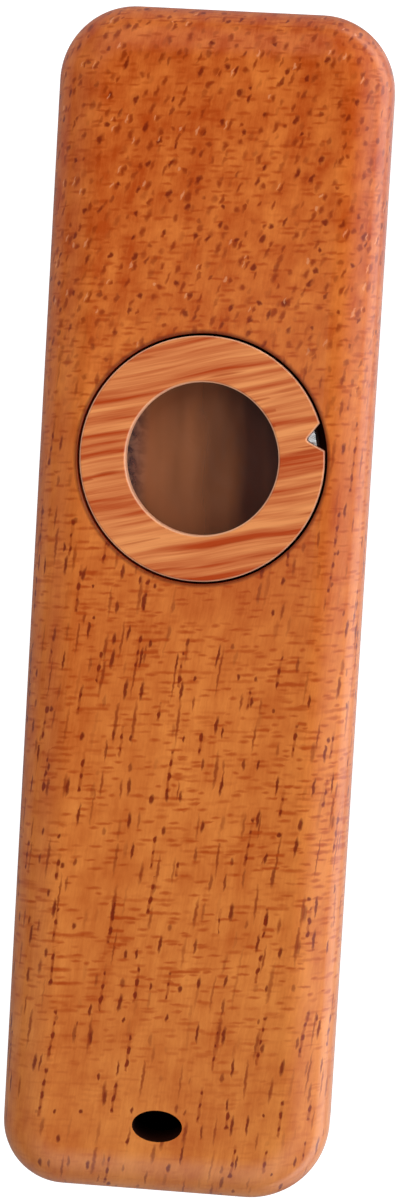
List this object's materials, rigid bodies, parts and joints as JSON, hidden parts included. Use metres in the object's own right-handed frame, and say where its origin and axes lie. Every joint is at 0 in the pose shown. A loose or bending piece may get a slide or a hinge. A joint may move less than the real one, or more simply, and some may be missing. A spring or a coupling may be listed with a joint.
{
  "type": "kazoo",
  "caption": "Flat pocket kazoo: a hollow block of oiled hardwood with a film membrane under a lift-out wooden cap ring held by magnets.",
  "frame": {"origin": "centre of the flat back face that the kazoo lies on", "axes": "X across the width, +Y along the length towards the mouth end, +Z out of the front face with the cap ring"},
  "size_m": [0.033, 0.118, 0.014],
  "materials": {
    "body_wood": "oiled and polished reddish hardwood with open pores",
    "cap_wood": "oiled straight-grained hardwood, a little lighter than the block",
    "washer_steel": "bright zinc-plated steel",
    "membrane_film": "thin glossy see-through film",
    "magnet_nickel": "nickel-plated disc"
  },
  "bodies": {
    "block": {"body_front": "body_wood", "body_back": "body_wood", "seat_magnet_1": "magnet_nickel", "seat_magnet_2": "magnet_nickel", "seat_magnet_3": "magnet_nickel", "seat_magnet_4": "magnet_nickel"},
    "film": {"membrane": "membrane_film"},
    "washer": {"keeper_washer": "washer_steel"},
    "cap": {"cap_ring": "cap_wood"}
  },
  "joints": [
    {"name": "film_lift", "type": "slide", "parent": "block", "child": "film", "axis": [0, 0, 1], "range_m": [0, 0.01]},
    {"name": "cap_lift", "type": "slide", "parent": "film", "child": "washer", "axis": [0, 0, 1], "range_m": [0, 0.02]},
    {"name": "cap_turn", "type": "hinge", "parent": "washer", "child": "cap", "pos_m": [0, 0.0151, 0.0113], "axis": [0, 0, 1], "continuous": true}
  ]
}
